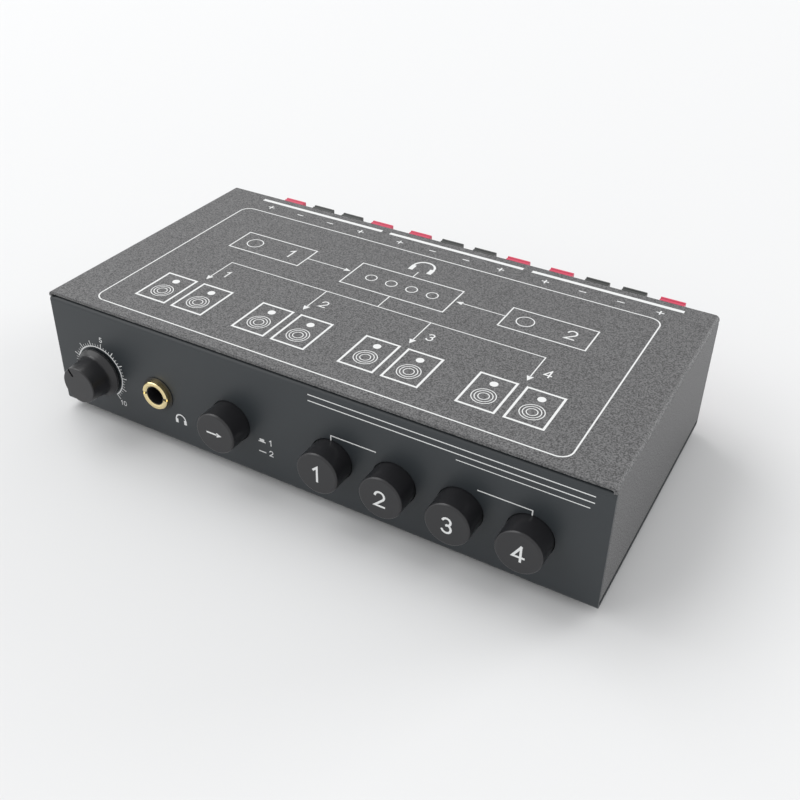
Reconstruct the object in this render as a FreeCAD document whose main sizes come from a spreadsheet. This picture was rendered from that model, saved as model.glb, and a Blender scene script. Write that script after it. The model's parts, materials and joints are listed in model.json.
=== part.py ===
# Speaker selector switch: a sheet steel case with a volume knob, a headphone socket and five
# latching push buttons on the front, and three blocks of spring wire terminals on the back.
# Case frame: X to the right and centred, Y back from the front face, Z up from the underside.

import FreeCAD, Part
import Sketcher
import math
import os
from FreeCAD import Vector

doc = FreeCAD.newDocument("speaker_selector")
sheet = doc.addObject("Spreadsheet::Sheet", "Sizes")

# Driving dimensions, in millimetres and degrees
SIZES = {
    # Case
    "case_width": 200.0,
    "case_depth": 101.5,
    "case_height": 44.3,
    "sheet_gauge": 1.0,
    "bend_inside": 0.6,
    "cover_seam": 0.9,
    "side_gap": 0.15,
    "cut_margin": 1.0,
    "panel_lip": 9.0,
    "cover_lip": 9.0,
    "foot_radius": 5.5,
    "foot_height": 3.0,
    "foot_inset": 16.0,
    "foot_edge": 0.6,
    # Fasteners
    "screw_radius": 1.5,
    "screw_fit": 0.05,
    "screw_play": 0.2,
    "screw_head_radius": 2.8,
    "screw_head_height": 1.6,
    "screw_length": 5.0,
    "drive_width": 0.8,
    "drive_depth": 0.7,
    "cover_screw_setback": 5.5,
    "cover_screw_front": 22.0,
    "cover_screw_back": 24.0,
    # Boards
    "control_height": 18.0,
    "board_gauge": 1.6,
    "board_top": 11.0,
    "board_left": 67.0,
    "board_right": 92.0,
    "board_front": 14.0,
    "standoff_radius": 3.0,
    "standoff_bore_depth": 5.0,
    "standoff_inset": 5.0,
    "standoff_front": 31.0,
    "resistor_length": 22.0,
    "resistor_width": 9.5,
    "resistor_height": 9.0,
    "resistor_pitch": 26.0,
    "resistor_first": -50.5,
    "resistor_setback": 52.0,
    "resistor_edge": 0.8,
    "header_height": 8.5,
    "header_depth": 5.0,
    "header_width": 61.0,
    # Volume control
    "volume_offset": 18.4,
    "pointer_angle": 33.0,
    "pot_radius": 8.0,
    "pot_depth": 9.0,
    "bush_radius": 3.5,
    "bush_reach": 5.0,
    "shaft_radius": 3.0,
    "shaft_fit": 0.05,
    "shaft_flat": 1.5,
    "shaft_reach": 9.0,
    "shaft_inside": 6.0,
    "washer_radius": 5.6,
    "washer_gauge": 0.5,
    "nut_flats": 10.0,
    "nut_height": 2.0,
    "knob_reach": 10.5,
    "knob_gap": 0.8,
    "knob_skirt_radius": 8.8,
    "knob_skirt_rim": 0.7,
    "knob_neck_radius": 7.3,
    "knob_neck_at": 2.9,
    "knob_flare": 2.6,
    "knob_face_radius": 6.6,
    "knob_edge": 0.4,
    "knob_recess_radius": 6.1,
    "knob_recess_depth": 4.5,
    "pointer_width": 0.9,
    "pointer_length": 3.0,
    "pointer_depth": 0.5,
    # Headphone socket
    "jack_offset": 44.0,
    "jack_bore": 3.25,
    "jack_bore_depth": 31.0,
    "jack_width": 15.0,
    "jack_rise": 7.4,
    "jack_depth": 32.0,
    "jack_nose_radius": 4.5,
    "jack_nose_reach": 1.7,
    "jack_nose_play": 0.1,
    "ring_radius": 5.17,
    "ring_reach": 2.1,
    "ring_lip_bore": 3.5,
    "ring_chamfer": 0.5,
    "ring_slot_width": 1.0,
    "ring_slot_depth": 0.5,
    "jack_washer_radius": 6.1,
    "jack_washer_gauge": 0.3,
    "jack_contact_width": 2.0,
    "jack_contact_gauge": 0.4,
    "jack_contact_play": 0.2,
    "jack_contact_first": 8.0,
    "jack_contact_pitch": 8.0,
    # Push buttons and their switches
    "amp_button_offset": 73.9,
    "output_button_offset": 112.2,
    "output_button_pitch": 21.9,
    "cap_radius": 7.3,
    "cap_reach": 8.3,
    "cap_inside": 4.0,
    "cap_edge": 0.7,
    "cap_play": 0.25,
    "cap_shell": 1.6,
    "cap_front_gauge": 2.0,
    "cap_hub_radius": 3.8,
    "hole_play": 0.05,
    "button_travel": 3.0,
    "plunger_side": 4.0,
    "plunger_play": 0.15,
    "plunger_socket": 5.0,
    "plunger_in_switch": 9.0,
    "switch_front": 10.0,
    "switch_width": 13.0,
    "switch_rise": 7.0,
    "switch_depth": 24.0,
    "switch_edge": 0.6,
    # Terminal blocks
    "block_width": 57.4,
    "block_pitch": 58.2,
    "block_shift": 3.4,
    "block_low": 4.4,
    "block_high": 42.0,
    "flange_gauge": 3.0,
    "flange_margin": 1.1,
    "flange_edge": 0.8,
    "body_depth": 13.0,
    "cutout_play": 0.2,
    "hook_reach": 0.7,
    "hook_length": 3.0,
    "hook_height": 8.0,
    "cell_pitch": 13.7,
    "row_pitch": 17.6,
    "cell_skin": 2.2,
    "cell_above": 3.2,
    "cell_below": 13.0,
    "slot_above": 3.4,
    "slot_below": 3.6,
    "wire_hole_radius": 1.8,
    "wire_hole_drop": 8.8,
    "wire_funnel": 0.7,
    "pivot_height": 37.3,
    "pivot_depth": 8.0,
    "pin_radius": 1.0,
    "pin_fit": 0.05,
    "pin_reach": 1.1,
    "lever_width": 8.7,
    "lever_play": 0.3,
    "lever_reach": 9.2,
    "lever_boss": 1.6,
    "lever_boss_front": 1.3,
    "lever_boss_back": 1.1,
    "lever_tip_rise": 3.8,
    "lever_tip_gauge": 2.9,
    "lever_leg": 6.4,
    "lever_leg_gauge": 2.0,
    "lever_edge": 0.6,
    "grip_first": 1.4,
    "grip_depth": 0.5,
    "grip_width": 0.7,
    "grip_pitch": 1.6,
    "leaf_width": 5.0,
    "leaf_gauge": 0.4,
    "leaf_gap": 0.1,
    "leaf_top": 3.4,
    "lug_reach": 10.0,
    "lug_through": 0.7,
    "terminal_board_low": 4.5,
    "terminal_board_high": 32.0,
    "terminal_board_left": 81.0,
    "terminal_board_right": 88.0,
    "lug_play": 0.15,
}


class Length:
    """A number together with the spreadsheet formula that gives it."""

    def __init__(self, text, number):
        self.text = text
        self.number = number

    def join(self, other, sign, number):
        other_text = other.text if isinstance(other, Length) else repr(float(other))
        return Length(f"({self.text} {sign} {other_text})", number)

    def __add__(self, other):
        return self.join(other, "+", self.number + plain(other))

    def __sub__(self, other):
        return self.join(other, "-", self.number - plain(other))

    def __mul__(self, other):
        return self.join(other, "*", self.number * plain(other))

    def __truediv__(self, other):
        return self.join(other, "/", self.number / plain(other))

    def __neg__(self):
        return Length(f"(-1 * {self.text})", -self.number)

    def __radd__(self, other):
        return self + other

    def __rmul__(self, other):
        return self * other


def plain(value):
    """The number of a Length, or the number itself."""
    return value.number if isinstance(value, Length) else float(value)


class Sizes:
    """Each driving dimension as a Length, by its name."""


for row, (name, number) in enumerate(SIZES.items(), start=1):
    sheet.set(f"A{row}", name)
    sheet.set(f"B{row}", str(number))
    sheet.setAlias(f"B{row}", name)
    setattr(Sizes, name, Length(f"Sizes.{name}", number))
doc.recompute()
S = Sizes
ZERO = S.sheet_gauge * 0


def bind(item, path, value):
    """Set a property, by a formula where the value is a Length."""
    if isinstance(value, Length):
        item.setExpression(path, value.text)
    else:
        setattr(item, path, value)


# Sketches and features

PLANE = {"XY": "XY_Plane", "XZ": "XZ_Plane", "YZ": "YZ_Plane"}
PARTS = []


def new_body(label, place=(0, 0, 0)):
    """A body with its own name, at a place given in the case frame."""
    body = doc.addObject("PartDesign::Body", label)
    body.Label = label
    body.AllowCompound = True
    x, y, z = place
    world = (ZERO + x, FRONT + y, S.foot_height + z)
    for axis, value in zip("xyz", world):
        body.setExpression(f"Placement.Base.{axis}", value.text)
    PARTS.append(body)
    return body


def new_sketch(body, plane, at):
    """A sketch on one of the body's origin planes, moved along the third axis to a place."""
    sketch = body.newObject("Sketcher::SketchObject", f"{body.Name}_sketch")
    origin = next(f for f in body.Origin.OriginFeatures if f.Role == PLANE[plane])
    sketch.AttachmentSupport = [(origin, "")]
    sketch.MapMode = "FlatFace"
    offset = -at if plane == "XZ" else at
    if isinstance(offset, Length):
        sketch.setExpression("AttachmentOffset.Base.z", offset.text)
    else:
        sketch.AttachmentOffset.Base.z = offset
    return sketch


def hold(sketch, geo, point, u, v):
    """Fix a point of the sketch by its two distances from the origin."""
    for kind, value in (("DistanceX", u), ("DistanceY", v)):
        constraint = Sketcher.Constraint(kind, -1, 1, geo, point, plain(value))
        index = sketch.addConstraint(constraint)
        if isinstance(value, Length):
            sketch.setExpression(f"Constraints[{index}]", value.text)


def polygon(sketch, points):
    """A closed outline of straight lines through the points."""
    spots = [Vector(plain(u), plain(v), 0) for u, v in points]
    count = len(spots)
    first = sketch.GeometryCount
    for n in range(count):
        sketch.addGeometry(Part.LineSegment(spots[n], spots[(n + 1) % count]))
    for n in range(count):
        sketch.addConstraint(
            Sketcher.Constraint("Coincident", first + n, 2, first + (n + 1) % count, 1)
        )
    for n, (u, v) in enumerate(points):
        hold(sketch, first + n, 1, u, v)


def box(sketch, u0, v0, u1, v1):
    polygon(sketch, [(u0, v0), (u1, v0), (u1, v1), (u0, v1)])


def circle(sketch, u, v, radius):
    centre = Vector(plain(u), plain(v), 0)
    geo = sketch.addGeometry(Part.Circle(centre, Vector(0, 0, 1), plain(radius)))
    index = sketch.addConstraint(Sketcher.Constraint("Radius", geo, plain(radius)))
    if isinstance(radius, Length):
        sketch.setExpression(f"Constraints[{index}]", radius.text)
    hold(sketch, geo, 3, u, v)


def finish_feature(body, feature, grows):
    """Compute a feature and make sure that it added or took away material."""
    before = body.Tip.Shape.Volume if body.Tip and body.Tip != feature else 0.0
    body.Tip = feature
    doc.recompute()
    after = feature.Shape.Volume
    if grows and after <= before or not grows and after >= before:
        raise RuntimeError(f"{feature.Label} changed the volume from {before} to {after}")
    return feature


def pad(body, plane, start, length, draw):
    """Add what draw puts in a sketch, from start along the plane's axis."""
    tip = body.Tip
    sketch = new_sketch(body, plane, start)
    draw(sketch)
    feature = body.newObject("PartDesign::Pad", f"{body.Name}_pad")
    body.Tip = tip
    feature.Profile = sketch
    feature.Reversed = plane == "XZ"
    bind(feature, "Length", length)
    return finish_feature(body, feature, True)


def pocket(body, plane, start, length, draw):
    """Take away what draw puts in a sketch, from start along the plane's axis."""
    tip = body.Tip
    sketch = new_sketch(body, plane, start)
    draw(sketch)
    feature = body.newObject("PartDesign::Pocket", f"{body.Name}_pocket")
    body.Tip = tip
    feature.Profile = sketch
    feature.Reversed = plane != "XZ"
    bind(feature, "Length", length)
    return finish_feature(body, feature, False)


def revolve(body, points):
    """Turn an outline of (Y, radius) points about the body's Y axis."""
    tip = body.Tip
    sketch = new_sketch(body, "YZ", ZERO)
    polygon(sketch, points)
    feature = body.newObject("PartDesign::Revolution", f"{body.Name}_revolution")
    body.Tip = tip
    feature.Profile = sketch
    feature.ReferenceAxis = (sketch, ["H_Axis"])
    feature.Angle = 360.0
    return finish_feature(body, feature, True)


def d_shape(sketch, radius, level):
    """A circle about the origin, cut off straight at a level above its centre."""
    r, z = plain(radius), plain(level)
    half = math.sqrt(r**2 - z**2)
    left, right = Vector(-half, z, 0), Vector(half, z, 0)
    arc = sketch.addGeometry(Part.Arc(left, Vector(0, -r, 0), right))
    flat = sketch.addGeometry(Part.LineSegment(right, left))
    sketch.addConstraint(Sketcher.Constraint("Coincident", arc, 2, flat, 1))
    sketch.addConstraint(Sketcher.Constraint("Coincident", flat, 2, arc, 1))
    sketch.addConstraint(Sketcher.Constraint("Horizontal", flat))
    sketch.addConstraint(Sketcher.Constraint("Coincident", arc, 3, -1, 1))
    for kind, spot, value in (
        ("Radius", (arc,), radius),
        ("DistanceY", (-1, 1, flat, 1), level),
    ):
        index = sketch.addConstraint(Sketcher.Constraint(kind, *spot, plain(value)))
        sketch.setExpression(f"Constraints[{index}]", value.text)


def round_edges(body, chosen, radius, kind="Fillet"):
    """Round or chamfer the edges of the body's tip that the test chooses."""
    base = body.Tip
    names = [
        f"Edge{n}" for n, edge in enumerate(base.Shape.Edges, start=1) if chosen(edge)
    ]
    if not names:
        raise RuntimeError(f"{body.Label} has no edge to round")
    feature = body.newObject(f"PartDesign::{kind}", f"{body.Name}_{kind.lower()}")
    feature.Base = (base, names)
    bind(feature, "Radius" if kind == "Fillet" else "Size", radius)
    body.Tip = feature
    doc.recompute()
    return feature


def near(a, b):
    return abs(plain(a) - plain(b)) < 1e-4


def along(edge, axis):
    """Is the edge straight and parallel to an axis, given as 0, 1 or 2?"""
    if edge.Curve.TypeId != "Part::GeomLine":
        return False
    return all(
        abs(edge.tangentAt(edge.FirstParameter)[k]) < 1e-6 for k in range(3) if k != axis
    )


def middle(edge):
    return edge.BoundBox.Center


def ring_at(edge, y, radius):
    """Is the edge a circle about the Y axis at this place and radius?"""
    return (
        edge.Curve.TypeId == "Part::GeomCircle"
        and near(edge.Curve.Radius, radius)
        and near(edge.Curve.Center.y, y)
    )


# Places that several pieces share

# The front face, so that the whole part is centred on the frame's origin
FRONT = -(S.case_depth + S.lever_reach - S.knob_reach) / 2
HALF = S.case_width / 2
INNER_BACK = S.case_depth - S.sheet_gauge
PANEL_TOP = S.case_height - S.sheet_gauge - S.cover_seam
VOLUME_X = S.volume_offset - HALF
JACK_X = S.jack_offset - HALF
BUTTON_X = [S.amp_button_offset - HALF] + [
    S.output_button_offset - HALF + S.output_button_pitch * n for n in range(4)
]
BUTTON_NAMES = ["amp"] + [f"output_{n}" for n in range(1, 5)]
BLOCK_NAMES = ["amp", "output_1_2", "output_3_4"]
BLOCK_X = [S.block_shift + S.block_pitch * (n - 1) for n in range(3)]
CELL_X = [S.cell_pitch * (n - 1.5) for n in range(4)]
ROW_Z = [S.pivot_height, S.pivot_height - S.row_pitch]
CELL_HALF = S.lever_width / 2 + S.lever_play
BODY_HALF = S.block_width / 2 - S.flange_margin - S.hook_reach
BODY_LOW = S.block_low + S.flange_margin
BODY_HIGH = S.block_high - S.flange_margin
BOARD_REAR = S.case_depth - S.pivot_depth - S.lug_reach + S.lug_through
COVER_SCREWS = [
    (side * (HALF - S.sheet_gauge - S.cover_screw_setback), y)
    for side in (-1, 1)
    for y in (S.cover_screw_front, S.case_depth - S.cover_screw_back)
]
STANDOFFS = [
    (x, y)
    for x in (S.standoff_inset - S.board_left, S.board_right - S.standoff_inset)
    for y in (S.board_front + S.standoff_front, BOARD_REAR - S.standoff_inset)
]


# Case

def base_chassis():
    """Front panel, bottom and rear wall bent from one sheet, with stiffening lips."""
    body = new_body("base_chassis")
    g = S.sheet_gauge
    top = PANEL_TOP
    back = S.case_depth
    lip = S.panel_lip
    outline = [
        (ZERO, ZERO), (back, ZERO), (back, top), (back - lip, top), (back - lip, top - g),
        (back - g, top - g), (back - g, g), (g, g), (g, top - g), (lip, top - g),
        (lip, top), (ZERO, top),
    ]
    pad(body, "YZ", -HALF, S.case_width, lambda s: polygon(s, outline))
    outer = [(ZERO, ZERO), (back, ZERO), (back, top), (ZERO, top)]
    inner = [(g, g), (back - g, g), (back - g, top - g), (g, top - g)]

    def bend_at(corners):
        return lambda edge: along(edge, 0) and any(
            near(middle(edge).y, y) and near(middle(edge).z, z) for y, z in corners
        )

    round_edges(body, bend_at(outer), S.bend_inside + g)
    round_edges(body, bend_at(inner), S.bend_inside)

    def front_holes(sketch):
        z = S.control_height
        circle(sketch, VOLUME_X, z, S.bush_radius + S.hole_play)
        circle(sketch, JACK_X, z, S.jack_nose_radius + S.jack_nose_play)
        for x in BUTTON_X:
            circle(sketch, x, z, S.cap_radius + S.cap_play)

    pocket(body, "XZ", ZERO, g, front_holes)

    def rear_cutouts(sketch):
        for x in BLOCK_X:
            reach = BODY_HALF + S.cutout_play
            box(sketch, x - reach, BODY_LOW - S.cutout_play,
                x + reach, BODY_HIGH + S.cutout_play)

    pocket(body, "XZ", back - g - S.bend_inside, g + S.bend_inside, rear_cutouts)

    # the lips stop short of the cover's sides
    def lip_ends(sketch):
        for side in (-1, 1):
            for y0, y1 in ((g, lip), (back - lip, back - g)):
                box(sketch, side * (HALF - g - S.side_gap), y0, side * (HALF + S.cut_margin), y1)

    depth = g + S.bend_inside
    pocket(body, "XY", top - depth, depth, lip_ends)

    def floor_holes(sketch):
        for x, y in COVER_SCREWS:
            circle(sketch, x, y, S.screw_radius + S.screw_play)

    pocket(body, "XY", ZERO, g, floor_holes)


def top_cover():
    """Top and two sides bent from one sheet, with lips that the screws hold down."""
    body = new_body("top_cover")
    g = S.sheet_gauge
    low = g
    high = S.case_height
    lip = S.cover_lip
    outline = [
        (-HALF, low), (lip - HALF, low), (lip - HALF, low + g), (g - HALF, low + g),
        (g - HALF, high - g), (HALF - g, high - g), (HALF - g, low + g),
        (HALF - lip, low + g), (HALF - lip, low), (HALF, low), (HALF, high), (-HALF, high),
    ]
    pad(body, "XZ", ZERO, S.case_depth, lambda s: polygon(s, outline))
    outer = [(side * HALF, z) for side in (-1, 1) for z in (low, high)]
    inner = [(side * (HALF - g), z) for side in (-1, 1) for z in (low + g, high - g)]

    def bend_at(corners):
        return lambda edge: along(edge, 1) and any(
            near(middle(edge).x, x) and near(middle(edge).z, z) for x, z in corners
        )

    round_edges(body, bend_at(outer), S.bend_inside + g)
    round_edges(body, bend_at(inner), S.bend_inside)

    # the sides stop short of the front panel and of the rear wall, which run the full width
    margin = g + S.side_gap
    under = PANEL_TOP + S.cover_seam - g
    for start in (ZERO, S.case_depth - margin):
        pocket(body, "XZ", start, margin,
               lambda s: box(s, -HALF - S.cut_margin, ZERO, HALF + S.cut_margin, under))

    # the lower corners also clear the bends inside the chassis
    relief = margin + S.bend_inside
    for start in (ZERO, S.case_depth - relief):
        pocket(body, "XZ", start, relief,
               lambda s: box(s, -HALF - S.cut_margin, ZERO, HALF + S.cut_margin,
                             low + g + S.bend_inside))

    def screw_holes(sketch):
        for x, y in COVER_SCREWS:
            circle(sketch, x, y, S.screw_radius + S.screw_fit)

    pocket(body, "XY", low, g, screw_holes)


def screws(label, places, seat, up, length):
    """Pan head screws with a slot: their heads lie on seat, and the shanks go the other way."""
    body = new_body(label)
    head = S.screw_head_height
    head_start = seat if up else seat - head
    shank_start = seat - length if up else seat
    slot_start = seat + head - S.drive_depth if up else seat - head

    def heads(sketch):
        for x, y in places:
            circle(sketch, x, y, S.screw_head_radius)

    def shanks(sketch):
        for x, y in places:
            circle(sketch, x, y, S.screw_radius)

    def slots(sketch):
        for x, y in places:
            box(sketch, x - S.screw_head_radius, y - S.drive_width / 2,
                x + S.screw_head_radius, y + S.drive_width / 2)

    pad(body, "XY", head_start, head, heads)
    pad(body, "XY", shank_start, length, shanks)
    pocket(body, "XY", slot_start, S.drive_depth, slots)


def rubber_feet():
    body = new_body("rubber_feet")

    def discs(sketch):
        for side in (-1, 1):
            for y in (S.foot_inset, S.case_depth - S.foot_inset):
                circle(sketch, side * (HALF - S.foot_inset), y, S.foot_radius)

    pad(body, "XY", -S.foot_height, S.foot_height, discs)
    low = -S.foot_height
    round_edges(
        body,
        lambda e: e.Curve.TypeId == "Part::GeomCircle" and near(middle(e).z, low),
        S.foot_edge,
        "Chamfer",
    )


# Boards and what stands on them

def boards():
    low = S.board_top - S.board_gauge
    body = new_body("main_board")
    pad(body, "XY", low, S.board_gauge,
        lambda s: box(s, -S.board_left, S.board_front, S.board_right, BOARD_REAR))

    def holes(sketch):
        for x, y in STANDOFFS:
            circle(sketch, x, y, S.screw_radius + S.screw_play)

    pocket(body, "XY", low, S.board_gauge, holes)

    body = new_body("board_standoffs")

    def posts(sketch):
        for x, y in STANDOFFS:
            circle(sketch, x, y, S.standoff_radius)

    def bores(sketch):
        for x, y in STANDOFFS:
            circle(sketch, x, y, S.screw_radius + S.screw_fit)

    pad(body, "XY", S.sheet_gauge, low - S.sheet_gauge, posts)
    pocket(body, "XY", low - S.standoff_bore_depth, S.standoff_bore_depth, bores)
    screws("board_screws", STANDOFFS, S.board_top, True, S.screw_length)

    body = new_body("terminal_board")
    pad(body, "XZ", BOARD_REAR, S.board_gauge,
        lambda s: box(s, -S.terminal_board_left, S.terminal_board_low,
                      S.terminal_board_right, S.terminal_board_high))

    def lug_slots(sketch):
        half = S.leaf_width / 2 + S.lug_play
        for block in BLOCK_X:
            for cell in CELL_X:
                for row in ROW_Z:
                    floor = row - S.cell_below
                    box(sketch, block + cell - half, floor - S.lug_play,
                        block + cell + half, floor + S.leaf_gauge + S.lug_play)

    pocket(body, "XZ", BOARD_REAR, S.board_gauge, lug_slots)

    body = new_body("board_header")
    pad(body, "XZ", BOARD_REAR - S.header_depth, S.header_depth,
        lambda s: box(s, -S.header_width / 2, S.board_top,
                      S.header_width / 2, S.board_top + S.header_height))

    body = new_body("power_resistors")

    def bricks(sketch):
        for n in range(4):
            x = S.resistor_first + S.resistor_pitch * n
            box(sketch, x, S.resistor_setback, x + S.resistor_length,
                S.resistor_setback + S.resistor_width)

    pad(body, "XY", S.board_top, S.resistor_height, bricks)
    round_edges(
        body,
        lambda e: along(e, 2),
        S.resistor_edge,
        "Chamfer",
    )


# Volume control

def volume_control():
    place = (VOLUME_X, 0, S.control_height)
    g = S.sheet_gauge
    bore = S.shaft_radius + S.shaft_fit
    body = new_body("volume_pot_body", place)
    revolve(body, [
        (-S.bush_reach, bore), (S.shaft_inside + g, bore), (S.shaft_inside + g, ZERO),
        (g + S.pot_depth, ZERO), (g + S.pot_depth, S.pot_radius), (g, S.pot_radius),
        (g, S.bush_radius), (-S.bush_reach, S.bush_radius),
    ])

    body = new_body("volume_pot_washer", place)
    revolve(body, [
        (ZERO, S.bush_radius + S.hole_play), (ZERO, S.washer_radius),
        (-S.washer_gauge, S.washer_radius), (-S.washer_gauge, S.bush_radius + S.hole_play),
    ])

    body = new_body("volume_pot_nut", place)
    corner = S.nut_flats / math.sqrt(3.0)

    def hexagon(sketch):
        polygon(sketch, [
            (corner * math.cos(math.radians(60 * n)), corner * math.sin(math.radians(60 * n)))
            for n in range(6)
        ])

    pad(body, "XZ", -S.washer_gauge - S.nut_height, S.nut_height, hexagon)
    pocket(body, "XZ", -S.washer_gauge - S.nut_height, S.nut_height,
           lambda s: circle(s, ZERO, ZERO, S.bush_radius + S.hole_play))

    body = new_body("volume_pot_shaft", place)
    turn(body)
    pad(body, "XZ", -S.shaft_reach, S.shaft_reach + S.shaft_inside,
        lambda s: circle(s, ZERO, ZERO, S.shaft_radius))
    flat_z = S.shaft_radius - S.shaft_flat
    reach = S.shaft_radius + S.cut_margin
    pocket(body, "XZ", -S.shaft_reach, S.shaft_reach - S.bush_reach,
           lambda s: box(s, -reach, flat_z, reach, reach))


def turn(body):
    """Set the volume control to the angle at which its pointer stands."""
    body.Placement.Rotation = FreeCAD.Rotation(Vector(0, 1, 0), 0)
    body.setExpression("Placement.Rotation.Axis.x", "0")
    body.setExpression("Placement.Rotation.Axis.y", "-1")
    body.setExpression("Placement.Rotation.Axis.z", "0")
    body.setExpression("Placement.Rotation.Angle", S.pointer_angle.text)


def volume_knob():
    """A bell-shaped knob: a flat rim, a hollow flare, and a tapered grip with a pointer."""
    body = new_body("volume_knob", (VOLUME_X, 0, S.control_height))
    turn(body)
    gap = S.knob_gap
    rim = gap + S.knob_skirt_rim
    recess = gap + S.knob_recess_depth
    revolve(body, [
        (-gap, ZERO), (-gap, S.knob_skirt_radius), (-rim, S.knob_skirt_radius),
        (-S.knob_neck_at, S.knob_neck_radius), (-S.knob_reach, S.knob_face_radius),
        (-S.knob_reach, ZERO),
    ])
    round_edges(body, lambda e: ring_at(e, -S.knob_neck_at, S.knob_neck_radius), S.knob_flare)
    round_edges(body, lambda e: ring_at(e, -S.knob_reach, S.knob_face_radius), S.knob_edge)
    pocket(body, "XZ", -recess, recess - gap,
           lambda s: circle(s, ZERO, ZERO, S.knob_recess_radius))
    bore_start = -S.shaft_reach - S.shaft_fit
    bore_length = S.shaft_reach + S.shaft_fit - recess
    flat_z = S.shaft_radius - S.shaft_flat + S.shaft_fit

    pocket(body, "XZ", bore_start, bore_length,
           lambda s: d_shape(s, S.shaft_radius + S.shaft_fit, flat_z))
    start = S.knob_face_radius - S.pointer_length
    pocket(body, "XZ", -S.knob_reach, S.pointer_depth,
           lambda s: box(s, -S.pointer_width / 2, start, S.pointer_width / 2,
                         S.knob_face_radius + S.cut_margin))


# Headphone socket

def headphone_jack():
    place = (JACK_X, 0, S.control_height)
    g = S.sheet_gauge
    body = new_body("headphone_jack_body", place)
    half = S.jack_width / 2
    drop = S.control_height - S.board_top
    pad(body, "XZ", g, S.jack_depth, lambda s: box(s, -half, -drop, half, S.jack_rise))
    pad(body, "XZ", -S.jack_nose_reach, S.jack_nose_reach + g,
        lambda s: circle(s, ZERO, ZERO, S.jack_nose_radius))
    pocket(body, "XZ", -S.jack_nose_reach, S.jack_bore_depth,
           lambda s: circle(s, ZERO, ZERO, S.jack_bore))
    slot = S.jack_contact_width / 2 + S.jack_contact_play
    slots = [S.jack_contact_first + S.jack_contact_pitch * n for n in range(3)]

    def contact_slots(sketch):
        for y in slots:
            box(sketch, -half, y - slot, -S.jack_bore / 2, y + slot)

    pocket(body, "XY", ZERO, S.jack_rise, contact_slots)
    round_edges(body, lambda e: along(e, 1) and near(middle(e).z, S.jack_rise), S.switch_edge)

    body = new_body("headphone_jack_contacts", place)
    lean = S.jack_bore + S.jack_contact_play
    gauge = S.jack_contact_gauge
    width = S.jack_contact_width
    for y in slots:
        pad(body, "XZ", y - width / 2, width, lambda s: polygon(s, [
            (-half - gauge, ZERO), (-lean - gauge, ZERO), (-lean - gauge, S.jack_rise),
            (-lean - gauge * 2, S.jack_rise), (-lean - gauge * 2, gauge), (-half, gauge),
            (-half, -drop + gauge), (-half - gauge, -drop + gauge),
        ]))

    body = new_body("headphone_jack_washer", place)
    revolve(body, [
        (ZERO, S.jack_nose_radius + S.jack_nose_play), (ZERO, S.jack_washer_radius),
        (-S.jack_washer_gauge, S.jack_washer_radius),
        (-S.jack_washer_gauge, S.jack_nose_radius + S.jack_nose_play),
    ])

    body = new_body("headphone_jack_ring_nut", place)
    thread = S.jack_nose_radius + S.screw_fit
    revolve(body, [
        (-S.jack_washer_gauge, thread), (-S.jack_washer_gauge, S.ring_radius),
        (-S.ring_reach, S.ring_radius), (-S.ring_reach, S.ring_lip_bore + S.ring_chamfer),
        (-S.ring_reach + S.ring_chamfer / 2, S.ring_lip_bore),
        (-S.jack_nose_reach, S.ring_lip_bore), (-S.jack_nose_reach, thread),
    ])
    reach = S.ring_radius + S.cut_margin
    pocket(body, "XZ", -S.ring_reach, S.ring_slot_depth,
           lambda s: box(s, -reach, -S.ring_slot_width / 2, reach, S.ring_slot_width / 2))
    round_edges(body, lambda e: ring_at(e, -S.ring_reach, S.ring_radius), S.ring_chamfer / 2,
                "Chamfer")


# Push buttons

def button_caps():
    """Caps with a domed edge, hollow behind, with a hub that takes the switch's plunger."""
    for name, x in zip(BUTTON_NAMES, BUTTON_X):
        body = new_body(f"{name}_button_cap", (x, 0, S.control_height))
        length = S.cap_reach + S.cap_inside
        pad(body, "XZ", -S.cap_reach, length, lambda s: circle(s, ZERO, ZERO, S.cap_radius))
        round_edges(body, lambda e: ring_at(e, -S.cap_reach, S.cap_radius), S.cap_edge)

        def hollow(sketch):
            circle(sketch, ZERO, ZERO, S.cap_radius - S.cap_shell)
            circle(sketch, ZERO, ZERO, S.cap_hub_radius)

        pocket(body, "XZ", S.cap_front_gauge - S.cap_reach, length - S.cap_front_gauge, hollow)
        half = S.plunger_side / 2 + S.screw_fit
        pocket(body, "XZ", S.cap_inside - S.plunger_socket, S.plunger_socket,
               lambda s: box(s, -half, -half, half, half))


def switches():
    """Latching switches on the board, each with a square plunger that runs in its front."""
    body = new_body("switch_bodies", (0, 0, S.control_height))
    half = S.switch_width / 2
    drop = S.control_height - S.board_top

    def cases(sketch):
        for x in BUTTON_X:
            box(sketch, x - half, -drop, x + half, S.switch_rise)

    def channels(sketch):
        side = S.plunger_side / 2 + S.plunger_play
        for x in BUTTON_X:
            box(sketch, x - side, -side, x + side, side)

    pad(body, "XZ", S.switch_front, S.switch_depth, cases)
    round_edges(body, lambda e: along(e, 1) and near(middle(e).z, S.switch_rise),
                S.switch_edge, "Chamfer")
    depth = S.plunger_in_switch + S.button_travel + S.plunger_play
    pocket(body, "XZ", S.switch_front, depth, channels)
    for name, x in zip(BUTTON_NAMES, BUTTON_X):
        body = new_body(f"{name}_switch_plunger", (x, 0, S.control_height))
        side = S.plunger_side / 2
        start = S.cap_inside - S.plunger_socket
        pad(body, "XZ", start, S.switch_front + S.plunger_in_switch - start,
            lambda s: box(s, -side, -side, side, side))


# Terminal blocks. Their bodies are placed at the rear wall's outer face.

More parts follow.
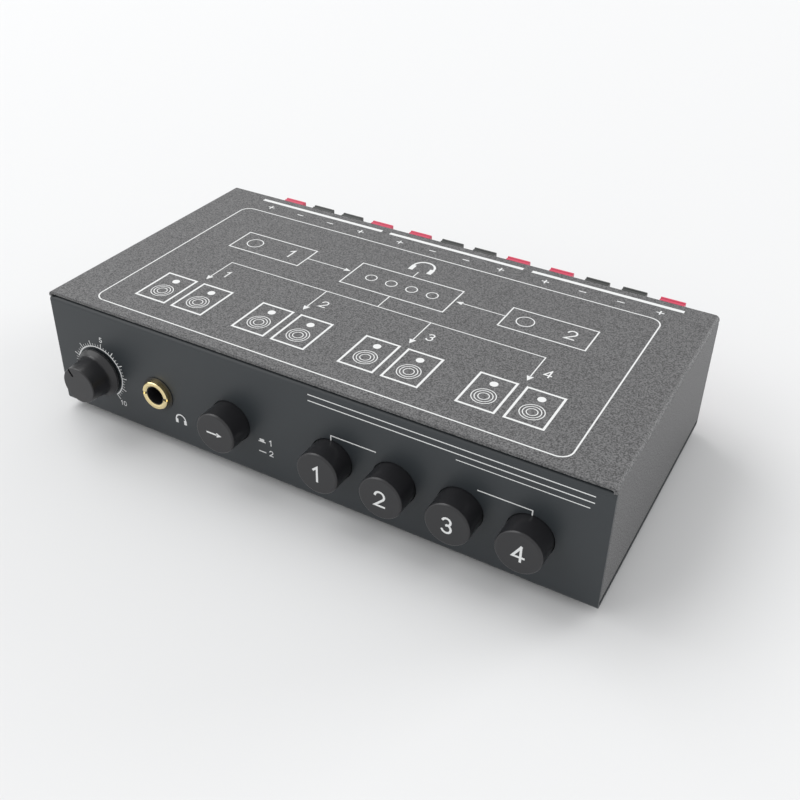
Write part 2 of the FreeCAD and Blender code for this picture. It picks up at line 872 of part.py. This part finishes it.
def terminal_housing(name, x):
    """A block of eight spring terminals: flange, snap-in body, cells, slots and wire holes."""
    body = new_body(f"{name}_terminal_housing", (x, S.case_depth, 0))
    half = S.block_width / 2
    pad(body, "XZ", ZERO, S.flange_gauge,
        lambda s: box(s, -half, S.block_low, half, S.block_high))
    round_edges(body, lambda e: along(e, 1), S.flange_edge)
    pad(body, "XZ", -S.body_depth, S.body_depth,
        lambda s: box(s, -BODY_HALF, BODY_LOW, BODY_HALF, BODY_HIGH))
    wall = S.sheet_gauge + S.hole_play
    hook = BODY_HALF + S.hook_reach
    mid = (S.block_low + S.block_high) / 2

    def hooks(sketch):
        for side in (-1, 1):
            polygon(sketch, [
                (side * BODY_HALF, -wall), (side * hook, -wall),
                (side * BODY_HALF, -wall - S.hook_length),
            ])

    pad(body, "XY", mid - S.hook_height / 2, S.hook_height, hooks)

    def cells(sketch):
        for cell in CELL_X:
            for row in ROW_Z:
                box(sketch, cell - CELL_HALF, row - S.cell_below,
                    cell + CELL_HALF, row + S.cell_above)

    pocket(body, "XZ", -S.body_depth, S.body_depth + S.flange_gauge - S.cell_skin, cells)

    def slots(sketch):
        for cell in CELL_X:
            for row in ROW_Z:
                box(sketch, cell - CELL_HALF, row - S.slot_below,
                    cell + CELL_HALF, row + S.slot_above)

    skin = S.flange_gauge - S.cell_skin
    pocket(body, "XZ", skin, S.cell_skin, slots)

    def wire_holes(sketch):
        for cell in CELL_X:
            for row in ROW_Z:
                circle(sketch, cell, row - S.wire_hole_drop, S.wire_hole_radius)

    pocket(body, "XZ", skin, S.cell_skin, wire_holes)
    round_edges(
        body,
        lambda e: e.Curve.TypeId == "Part::GeomCircle" and near(middle(e).y, S.flange_gauge)
        and near(e.Curve.Radius, S.wire_hole_radius),
        S.wire_funnel,
        "Chamfer",
    )

    def pin_bores(sketch):
        for row in ROW_Z:
            circle(sketch, -S.pivot_depth, row, S.pin_radius + S.pin_fit)

    reach = S.cell_pitch * 1.5 + S.lever_width / 2 + S.pin_reach + S.pin_fit
    pocket(body, "YZ", -reach, reach * 2, pin_bores)


def terminal_contacts():
    """Bent spring strips: a lug through the board, the cell's floor, and an upright leaf."""
    body = new_body("terminal_contacts", (0, S.case_depth, 0))
    g = S.leaf_gauge
    leaf = S.leaf_gap + S.lever_leg_gauge / 2
    rear = -S.pivot_depth - S.lug_reach
    for block in BLOCK_X:
        for cell in CELL_X:
            for row in ROW_Z:
                floor = row - S.cell_below
                front = -S.pivot_depth - leaf
                outline = [
                    (rear, floor), (front, floor), (front, row - S.leaf_top),
                    (front - g, row - S.leaf_top), (front - g, floor + g), (rear, floor + g),
                ]
                pad(body, "YZ", block + cell - S.leaf_width / 2, S.leaf_width,
                    lambda s: polygon(s, outline))


def terminal_lever(label, x, z):
    """A press lever: ribbed tab, boss with hinge pins, and the leg that pushes the leaf."""
    body = new_body(label, (x, S.case_depth - S.pivot_depth, z))
    boss = S.lever_boss
    leg = S.lever_leg_gauge / 2
    tip = S.pivot_depth + S.lever_reach
    under = S.lever_tip_rise - S.lever_tip_gauge
    half = S.lever_width / 2
    pad(body, "YZ", -half, S.lever_width, lambda s: polygon(s, [
        (-leg, -S.lever_leg), (leg, -S.lever_leg), (leg, -boss), (boss + leg, -S.lever_boss_front),
        (tip, under), (tip, S.lever_tip_rise), (ZERO, boss), (-leg, S.lever_boss_back),
    ]))
    round_edges(
        body,
        lambda e: along(e, 0) and (near(middle(e).y, tip) or near(middle(e).z, -S.lever_leg)),
        S.lever_edge,
    )
    slope = (S.lever_tip_rise - boss) / tip

    def grips(sketch):
        for n in range(3):
            y = tip - S.grip_first - S.grip_pitch * n
            top = boss + slope * plain(y)
            polygon(sketch, [
                (y - S.grip_width / 2, top - slope * plain(S.grip_width) / 2),
                (y, top - S.grip_depth),
                (y + S.grip_width / 2, top + slope * plain(S.grip_width) / 2),
                (y, top + S.grip_depth),
            ])

    pocket(body, "YZ", -half, S.lever_width, grips)
    pin = half + S.pin_reach
    pad(body, "YZ", -pin, pin * 2, lambda s: circle(s, ZERO, ZERO, S.pin_radius))


def terminals():
    for name, x in zip(BLOCK_NAMES, BLOCK_X):
        terminal_housing(name, x)
    terminal_contacts()
    columns = ("red_1", "black_1", "black_2", "red_2")
    for name, x in zip(BLOCK_NAMES, BLOCK_X):
        for row, z in zip(("upper", "lower"), ROW_Z):
            for column, cell in zip(columns, CELL_X):
                terminal_lever(f"{name}_{row}_lever_{column}", x + cell, z)


def write_parts():
    """Check every object and every piece, and write one STEP file for each piece."""
    doc.recompute()
    for item in doc.Objects:
        if "Invalid" in item.State or "Error" in item.State:
            raise RuntimeError(f"{item.Label} failed: {item.State}")
    os.makedirs("parts", exist_ok=True)
    for body in PARTS:
        if body.Shape.isNull() or not body.Shape.isValid() or not body.Shape.Solids:
            raise RuntimeError(f"{body.Label} has no valid shape")
    for body in PARTS:
        body.Shape.exportStep(f"parts/{body.Label}.step")


base_chassis()
top_cover()
screws("cover_screws", COVER_SCREWS, ZERO, False, S.screw_length)
rubber_feet()
boards()
volume_control()
volume_knob()
headphone_jack()
button_caps()
switches()
terminals()
write_parts()
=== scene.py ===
# Looks, print, light and camera for the speaker selector switch.
# Lengths are in millimetres in the part's frame and are turned into metres where geometry is made.

import bpy
import json
import math
from mathutils import Matrix, Vector


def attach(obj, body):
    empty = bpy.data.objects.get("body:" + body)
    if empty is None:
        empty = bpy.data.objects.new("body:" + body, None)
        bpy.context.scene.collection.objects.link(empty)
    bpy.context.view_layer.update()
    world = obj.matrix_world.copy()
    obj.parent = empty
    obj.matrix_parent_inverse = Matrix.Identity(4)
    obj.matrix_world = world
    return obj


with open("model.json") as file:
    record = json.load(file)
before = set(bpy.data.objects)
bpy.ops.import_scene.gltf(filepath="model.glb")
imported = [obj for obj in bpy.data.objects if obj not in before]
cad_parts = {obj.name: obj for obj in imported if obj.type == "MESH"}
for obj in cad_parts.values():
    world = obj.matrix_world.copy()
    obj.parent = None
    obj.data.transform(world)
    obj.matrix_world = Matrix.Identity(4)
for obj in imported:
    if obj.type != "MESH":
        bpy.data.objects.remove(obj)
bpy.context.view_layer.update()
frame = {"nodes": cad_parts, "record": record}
nodes = frame["nodes"]

MM = 0.001
HALF_WIDTH = 100.0
FRONT_Y = -50.1
CASE_LOW = 3.0
TOP_Z = 47.3
PRINT_LIFT = 0.02
LAYER_STEP = 0.004
LAYERS = 6
MITRE_LIMIT = 0.4
DISC_STEPS = 32
CONTROL_Z = CASE_LOW + 18.0
VOLUME_X = -81.6
AMP_X = -26.1
OUTPUT_X = [12.2 + 21.9 * n for n in range(4)]
CAP_FACE_Y = FRONT_Y - 8.3
BLOCK_X = [-54.8, 3.4, 61.6]
TERMINALS = [(-20.55, True), (-6.85, False), (6.85, False), (20.55, True)]
DIAL_RADIUS = 9.67
DIAL_START = 210
DIAL_SWEEP = 260
DIAL_STEPS = 40
DIAL_TOP = 10
SPECKLE_RANGE = (0.35, 0.65)
FLOOR_SIZE = 60.0
LIGHT_LEVEL = 0.75
WALL_TONE = 0.87


# Materials

def shader(name, colour, roughness, metallic=0.0, specular=0.5):
    material = bpy.data.materials.new(name)
    material.use_nodes = True
    surface = material.node_tree.nodes["Principled BSDF"]
    surface.inputs["Base Color"].default_value = (*colour, 1.0)
    surface.inputs["Roughness"].default_value = roughness
    surface.inputs["Metallic"].default_value = metallic
    surface.inputs["Specular IOR Level"].default_value = specular
    return material


def add_grain(material, scale, strength, distance):
    """Roughen a material's surface with fine noise, fixed to the object."""
    tree = material.node_tree
    place = tree.nodes.new("ShaderNodeTexCoord")
    noise = tree.nodes.new("ShaderNodeTexNoise")
    bump = tree.nodes.new("ShaderNodeBump")
    noise.inputs["Scale"].default_value = scale
    noise.inputs["Detail"].default_value = 3.0
    bump.inputs["Strength"].default_value = strength
    bump.inputs["Distance"].default_value = distance
    tree.links.new(place.outputs["Object"], noise.inputs["Vector"])
    tree.links.new(noise.outputs["Fac"], bump.inputs["Height"])
    tree.links.new(bump.outputs["Normal"], tree.nodes["Principled BSDF"].inputs["Normal"])
    return noise


def add_speckle(material, noise, dark, light):
    """Vary the colour between two tones with the grain."""
    tree = material.node_tree
    ramp = tree.nodes.new("ShaderNodeValToRGB")
    for stop, position, colour in zip(ramp.color_ramp.elements, SPECKLE_RANGE, (dark, light)):
        stop.position = position
        stop.color = (*colour, 1.0)
    tree.links.new(noise.outputs["Fac"], ramp.inputs["Fac"])
    tree.links.new(ramp.outputs["Color"], tree.nodes["Principled BSDF"].inputs["Base Color"])


MATERIALS = {
    "smooth_black_paint": shader("front_paint", (0.024, 0.029, 0.033), 0.42),
    "textured_black_paint": shader("cover_paint", (0.10, 0.10, 0.10), 0.55),
    "zinc_steel": shader("zinc_steel", (0.62, 0.62, 0.60), 0.3, 1.0),
    "rubber": shader("rubber", (0.02, 0.02, 0.02), 0.8),
    "circuit_board": shader("circuit_board", (0.03, 0.16, 0.07), 0.35),
    "brass": shader("brass", (0.78, 0.60, 0.30), 0.3, 1.0),
    "black_plastic": shader("black_plastic", (0.012, 0.012, 0.013), 0.45),
    "ceramic_white": shader("ceramic_white", (0.72, 0.71, 0.68), 0.7),
    "gold_plate": shader("gold_plate", (0.86, 0.72, 0.40), 0.2, 1.0),
    "tin_bronze": shader("tin_bronze", (0.75, 0.68, 0.55), 0.35, 1.0),
    "switch_plastic": shader("switch_plastic", (0.02, 0.02, 0.022), 0.5),
    "switch_white_plastic": shader("switch_white_plastic", (0.80, 0.80, 0.78), 0.5),
    "knob_plastic": shader("knob_plastic", (0.016, 0.016, 0.018), 0.28),
    "lever_red_plastic": shader("lever_red_plastic", (0.62, 0.05, 0.11), 0.32),
    "lever_black_plastic": shader("lever_black_plastic", (0.035, 0.038, 0.036), 0.35),
}
WHITE_INK = shader("white_ink", (0.74, 0.75, 0.75), 0.6)
COVER_GRAIN = add_grain(MATERIALS["textured_black_paint"], 2100.0, 0.6, 0.0003)
add_speckle(MATERIALS["textured_black_paint"], COVER_GRAIN, (0.03, 0.03, 0.031), (0.165, 0.165, 0.168))

SLOT_OF = {piece["node"]: piece["material_slot"] for piece in frame["record"]["subparts"]}
for name, node in nodes.items():
    node.data.materials.clear()
    node.data.materials.append(MATERIALS[SLOT_OF[name]])


# Print: flat strokes a hair above the surface, on the front panel, the cap faces and the top

def on_front(y=FRONT_Y):
    """Turns (x, z) and a lift off an upright plane facing the viewer into a place, in metres."""
    return lambda x, z, lift: Vector((x, y - lift, z)) * MM


def on_top(x, y, lift):
    return Vector((x, y, TOP_Z + lift)) * MM


class Ink:
    """Collects flat strokes on one surface and makes one mesh of them."""

    def __init__(self, place):
        self.place = place
        self.points = []
        self.faces = []
        self.layer = 0

    def add(self, corners):
        first = len(self.points)
        lift = PRINT_LIFT + self.layer * LAYER_STEP
        self.points += [self.place(x, y, lift) for x, y in corners]
        self.faces.append(range(first, first + len(corners)))

    def next_layer(self):
        """Strokes that cross lie on different layers, so that none is drawn twice."""
        self.layer = (self.layer + 1) % LAYERS

    def line(self, start, end, width):
        self.path([start, end], width)

    def path(self, points, width, closed=False):
        """One ribbon along the points, with mitred corners and square ends."""
        self.next_layer()
        spots = [Vector(point) for point in points]
        count = len(spots)
        sides = []
        for n, spot in enumerate(spots):
            before = spots[n - 1] if n or closed else None
            after = spots[(n + 1) % count] if n < count - 1 or closed else None
            came = (spot - before).normalized() if before is not None else None
            goes = (after - spot).normalized() if after is not None else None
            shift = Vector((0.0, 0.0))
            if came is None:
                ahead = goes
                shift = -ahead * width / 2
            elif goes is None:
                ahead = came
                shift = ahead * width / 2
            else:
                ahead = (came + goes).normalized()
            aside = Vector((-ahead.y, ahead.x))
            leg = came if goes is None else goes
            reach = width / 2 / max(aside.dot(Vector((-leg.y, leg.x))), MITRE_LIMIT)
            sides.append((spot + shift - aside * reach, spot + shift + aside * reach))
        for n in range(count if closed else count - 1):
            (a_low, a_high), (b_low, b_high) = sides[n], sides[(n + 1) % count]
            self.add([a_low, b_low, b_high, a_high])

    def arc(self, centre, radius, start, end, width, steps=48):
        """Part of a circle between two angles in degrees, anticlockwise from the right."""
        self.next_layer()
        inner, outer = radius - width / 2, radius + width / 2
        turns = [math.radians(start + (end - start) * n / steps) for n in range(steps + 1)]
        for a, b in zip(turns, turns[1:]):
            self.add([
                (centre[0] + r * math.cos(t), centre[1] + r * math.sin(t))
                for r, t in ((inner, a), (outer, a), (outer, b), (inner, b))
            ])

    def disc(self, centre, radius):
        self.next_layer()
        turns = [math.radians(360 / DISC_STEPS * n) for n in range(DISC_STEPS)]
        self.add([(centre[0] + radius * math.cos(t), centre[1] + radius * math.sin(t)) for t in turns])

    def bar(self, low, high):
        self.next_layer()
        self.add([low, (high[0], low[1]), high, (low[0], high[1])])

    def box(self, low, high, width):
        self.path([low, (high[0], low[1]), high, (low[0], high[1])], width, closed=True)

    def rounded_box(self, low, high, radius, width):
        (x0, y0), (x1, y1) = low, high
        self.line((x0 + radius, y0), (x1 - radius, y0), width)
        self.line((x0 + radius, y1), (x1 - radius, y1), width)
        self.line((x0, y0 + radius), (x0, y1 - radius), width)
        self.line((x1, y0 + radius), (x1, y1 - radius), width)
        corners = ((x1, y1, 0), (x0, y1, 90), (x0, y0, 180), (x1, y0, 270))
        for x, y, turn in corners:
            centre = (x - radius if x == x1 else x + radius, y - radius if y == y1 else y + radius)
            self.arc(centre, radius, turn, turn + 90, width, steps=12)

    def arrow(self, start, end, width, head):
        a, b = Vector(start), Vector(end)
        ahead = (b - a).normalized()
        aside = Vector((-ahead.y, ahead.x)) * head * 0.45
        back = b - ahead * head
        self.line(a, back, width)
        self.add([b, back + aside, back - aside])

    def make(self, name, body):
        mesh = bpy.data.meshes.new(name)
        mesh.from_pydata(self.points, [], self.faces)
        mesh.materials.append(WHITE_INK)
        piece = bpy.data.objects.new(name, mesh)
        bpy.context.scene.collection.objects.link(piece)
        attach(piece, body)


def bend(x, y, radius, start, end):
    """Points along part of a circle, between two angles in degrees."""
    turns = [math.radians(start + (end - start) * n / 10) for n in range(11)]
    return [(x + radius * math.cos(t), y + radius * math.sin(t)) for t in turns]


# Each digit as lines in a box 0.6 wide and 1 high
DIGITS = {
    "0": [bend(0.3, 0.7, 0.3, 0, 180) + bend(0.3, 0.3, 0.3, 180, 360) + [(0.6, 0.7)]],
    "1": [[(0.1, 0.78), (0.34, 1.0), (0.34, 0.0)]],
    "2": [bend(0.3, 0.7, 0.3, 170, -35) + [(0.0, 0.0), (0.6, 0.0)]],
    "3": [bend(0.29, 0.75, 0.25, 155, -90), bend(0.29, 0.26, 0.28, 80, -155)],
    "4": [[(0.46, 1.0), (0.0, 0.27), (0.64, 0.27)], [(0.46, 0.0), (0.46, 1.0)]],
    "5": [[(0.56, 1.0), (0.1, 1.0), (0.06, 0.56)] + bend(0.27, 0.31, 0.31, 125, -155)],
}


def number(ink, text, centre, height, width):
    """Draw a number in lines of one width, centred on a place."""
    step = 0.85 * height
    left = centre[0] - (step * (len(text) - 1) + 0.6 * height) / 2
    low = centre[1] - height / 2
    for n, digit in enumerate(text):
        for points in DIGITS[digit]:
            ink.path([(left + n * step + x * height, low + y * height) for x, y in points], width)


def headphones(ink, centre, size, width):
    """A headband with two ear cups."""
    x, y = centre
    ink.arc((x, y), size / 2, 0, 180, width, steps=20)
    for side in (-1, 1):
        middle = x + side * (size / 2 - width * 0.4)
        ink.bar((middle - width * 1.1, y - size * 0.42), (middle + width * 1.1, y + size * 0.02))


def front_print():
    ink = Ink(on_front())
    dial = (VOLUME_X, CONTROL_Z)
    ink.arc(dial, DIAL_RADIUS, DIAL_START - DIAL_SWEEP, DIAL_START, 0.45)
    for n in range(DIAL_STEPS + 1):
        turn = math.radians(DIAL_START - DIAL_SWEEP / DIAL_STEPS * n)
        outer = 11.6 if n % 4 == 0 else 10.7
        ends = [(dial[0] + r * math.cos(turn), dial[1] + r * math.sin(turn)) for r in (9.9, outer)]
        ink.line(*ends, 0.3 if n % 4 == 0 else 0.2)
    for text in ("0", "5", "10"):
        turn = math.radians(DIAL_START - DIAL_SWEEP / DIAL_TOP * int(text))
        spot = (dial[0] + 13.4 * math.cos(turn), dial[1] + 13.4 * math.sin(turn))
        number(ink, text, spot, 1.7, 0.28)
    headphones(ink, (-47.4, CASE_LOW + 10.3), 3.9, 0.5)

    # the input button's two positions: a raised and a lowered cap
    ink.bar((-15.4, CASE_LOW + 14.2), (-12.6, CASE_LOW + 14.6))
    ink.bar((-14.9, CASE_LOW + 14.6), (-13.1, CASE_LOW + 15.5))
    ink.bar((-15.4, CASE_LOW + 10.2), (-12.6, CASE_LOW + 10.6))
    number(ink, "1", (-10.6, CASE_LOW + 15.0), 2.0, 0.32)
    number(ink, "2", (-10.6, CASE_LOW + 10.8), 2.0, 0.32)

    # a bracket over the output buttons
    high, low = CASE_LOW + 27.1, CASE_LOW + 25.5
    ink.path([(12.2, low), (12.2, high), (27.8, high)], 0.38)
    ink.path([(61.2, high), (77.9, high), (77.9, low)], 0.38)

    # three plain rules along the panel's upper edge
    rule_height = CASE_LOW + 38.3
    for z in (rule_height - 1.1, rule_height + 1.1):
        ink.line((4.4, z), (94.4, z), 0.35)
    ink.line((54.0, rule_height - 3.2), (93.4, rule_height - 3.2), 0.3)
    ink.make("front_print", "case")


def cap_print():
    face = on_front(CAP_FACE_Y)
    for n, x in enumerate(OUTPUT_X, start=1):
        ink = Ink(face)
        number(ink, str(n), (x, CONTROL_Z), 5.2, 0.72)
        ink.make(f"cap_number_{n}", f"output_{n}_button")
    ink = Ink(face)
    ink.arrow((AMP_X - 2.8, CONTROL_Z), (AMP_X + 2.8, CONTROL_Z), 0.6, 2.0)
    ink.make("amp_cap_print", "amp_button")


def speaker(ink, centre, width, height):
    """A loudspeaker box with a small and a large round driver."""
    x, y = centre
    ink.box((x - width / 2, y - height / 2), (x + width / 2, y + height / 2), 0.75)
    ink.disc((x, y + height * 0.28), width * 0.11)
    for radius in (0.14, 0.23, 0.31):
        ink.arc((x, y - height * 0.14), width * radius, 0, 360, 0.3, steps=28)


def top_print():
    """Bars and signs over the terminals, and a wiring diagram in a rounded frame."""
    ink = Ink(on_top)
    for x in BLOCK_X:
        ink.bar((x - 27.4, FRONT_Y + 96.9), (x + 27.4, FRONT_Y + 98.5))
        for cell, positive in TERMINALS:
            spot = (x + cell, FRONT_Y + 93.2)
            ink.line((spot[0] - 1.1, spot[1]), (spot[0] + 1.1, spot[1]), 0.5)
            if positive:
                ink.line((spot[0], spot[1] - 1.1), (spot[0], spot[1] + 1.1), 0.5)

    ink.rounded_box((-84.0, FRONT_Y + 4.6), (84.6, FRONT_Y + 88.4), 4.0, 0.5)

    # speakers in four numbered pairs, in one row along the front
    row = FRONT_Y + 22.0
    bus = FRONT_Y + 48.0
    for n in range(4):
        middle = -60.0 + 40.0 * n
        for side in (-1, 1):
            speaker(ink, (middle + side * 7.6, row), 12.0, 17.0)
        number(ink, str(n + 1), (middle + 4.2, row + 18.0), 3.6, 0.5)
        ink.arrow((middle, bus), (middle, row + 11.5), 0.4, 2.6)
    ink.line((-60.0, bus), (60.0, bus), 0.4)

    # the selector in the middle, with an amplifier on each side and headphones
    low, high = FRONT_Y + 56.0, FRONT_Y + 72.0
    ink.box((-20.0, low), (20.0, high), 0.5)
    ink.line((0.0, low), (0.0, bus), 0.4)
    for n in range(4):
        ink.arc((-12.0 + 8.0 * n, FRONT_Y + 64.0), 2.0, 0, 360, 0.4, steps=24)
    level = FRONT_Y + 64.5
    for n, side in ((1, -1), (2, 1)):
        x = side * 54.0
        ink.box((x - 15.0, FRONT_Y + 58.0), (x + 15.0, FRONT_Y + 71.0), 0.5)
        ink.arc((x - 8.0, level), 3.0, 0, 360, 0.4, steps=24)
        number(ink, str(n), (x + 8.0, level), 5.0, 0.6)
        ink.arrow((x - side * 15.5, level), (side * 20.8, level), 0.4, 2.4)
    headphones(ink, (0.0, FRONT_Y + 80.0), 8.0, 0.8)
    ink.line((0.0, high), (0.0, FRONT_Y + 76.0), 0.4)
    ink.make("top_print", "case")


front_print()
cap_print()
top_print()


# Stage, light and camera

def stage():
    floor_paint = shader("floor", (0.755, 0.76, 0.765), 0.9, specular=0.1)
    bpy.ops.mesh.primitive_plane_add(size=FLOOR_SIZE, location=(0.0, 0.0, 0.0))
    floor = bpy.context.object
    floor.name = "floor"
    floor.data.materials.append(floor_paint)

    world = bpy.data.worlds.new("studio")
    bpy.context.scene.world = world
    world.use_nodes = True
    tree = world.node_tree
    light = tree.nodes["Background"]
    light.inputs["Color"].default_value = (1.0, 1.0, 1.0, 1.0)
    light.inputs["Strength"].default_value = LIGHT_LEVEL

    # the camera, mirrors and glass see a pale wall, whatever the light on the object
    wall = tree.nodes.new("ShaderNodeBackground")
    wall.inputs["Color"].default_value = (WALL_TONE, WALL_TONE, WALL_TONE, 1.0)
    rays = tree.nodes.new("ShaderNodeLightPath")
    seen = rays.outputs["Is Camera Ray"]
    for kind in ("Is Glossy Ray", "Is Transmission Ray"):
        either = tree.nodes.new("ShaderNodeMath")
        either.operation = "MAXIMUM"
        tree.links.new(seen, either.inputs[0])
        tree.links.new(rays.outputs[kind], either.inputs[1])
        seen = either.outputs[0]
    mix = tree.nodes.new("ShaderNodeMixShader")
    tree.links.new(seen, mix.inputs["Fac"])
    tree.links.new(light.outputs[0], mix.inputs[1])
    tree.links.new(wall.outputs[0], mix.inputs[2])
    tree.links.new(mix.outputs[0], tree.nodes["World Output"].inputs["Surface"])


def lamp(name, place, target, size, power):
    light = bpy.data.lights.new(name, "AREA")
    light.size = size
    light.energy = power
    piece = bpy.data.objects.new(name, light)
    piece.location = place
    piece.rotation_euler = (Vector(target) - Vector(place)).to_track_quat("-Z", "Y").to_euler()
    bpy.context.scene.collection.objects.link(piece)


def camera():
    """The photograph's view: place, turn, lens and off-centre framing, from the case's corners."""
    back = Vector((0.40172, -0.73873, 0.54121))
    right = Vector((0.87192, 0.48921, 0.02056))
    above = Vector((-0.27996, 0.46363, 0.84064))
    data = bpy.data.cameras.new("camera")
    data.sensor_width = 36.0
    data.lens = 45.168
    data.shift_x = -0.0065
    data.shift_y = -0.0593
    piece = bpy.data.objects.new("camera", data)
    turn = Matrix((right, above, back)).transposed().to_4x4()
    place = Vector((245.75 - HALF_WIDTH, -200.13 + FRONT_Y, 211.61 + CASE_LOW)) * MM
    piece.matrix_world = Matrix.Translation(place) @ turn
    bpy.context.scene.collection.objects.link(piece)
    bpy.context.scene.camera = piece


stage()
lamp("key", (-3.2, 1.0, 4.4), (0.0, 0.0, 0.02), 3.6, 116.0)
lamp("side", (2.4, 3.4, 1.0), (0.1, 0.05, 0.02), 1.8, 64.0)
lamp("fill", (-3.0, -2.2, 2.6), (0.0, 0.0, 0.02), 3.6, 60.0)
camera()
bpy.context.scene.view_settings.view_transform = "Standard"
